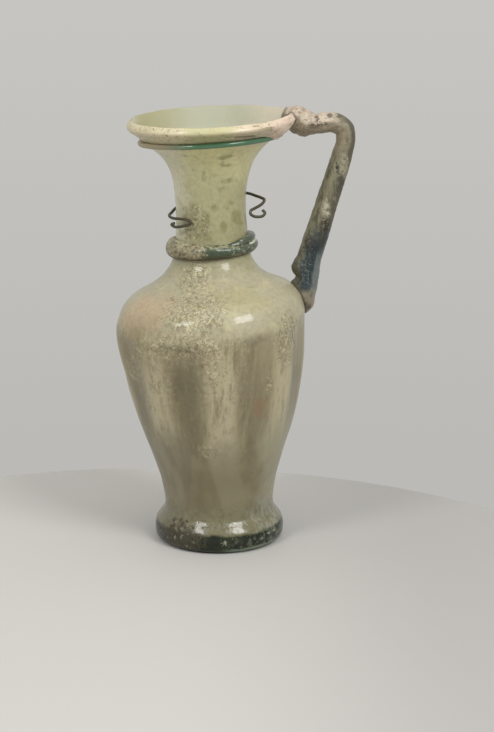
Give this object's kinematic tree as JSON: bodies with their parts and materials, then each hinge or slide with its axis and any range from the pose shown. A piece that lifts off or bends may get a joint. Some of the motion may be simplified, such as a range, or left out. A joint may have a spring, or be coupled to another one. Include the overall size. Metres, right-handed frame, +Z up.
{
  "type": "glass jug",
  "caption": "Ancient blown glass jug with a fluted body, flared mouth, drawn handle, applied trails and a bent bronze wire round its neck.",
  "frame": {"origin": "centre of the flat underside of the foot", "axes": "+Z up, +X towards the handle, -Y is the front of the jug"},
  "size_m": [0.1001, 0.0795, 0.1854],
  "materials": {
    "vessel_glass": "pale green glass under a cream weathering crust, worn clear and dark green round the foot",
    "handle_glass": "blue-green glass under a grey-beige crust with dark pits",
    "trail_glass": "dark green glass, half under a beige crust",
    "thread_glass": "clear sea-green glass",
    "bronze_wire": "dark patinated bronze"
  },
  "bodies": {
    "root": {"vessel": "vessel_glass", "handle": "handle_glass", "neck_trail": "trail_glass", "rim_thread": "thread_glass", "neck_wire": "bronze_wire"}
  },
  "joints": []
}
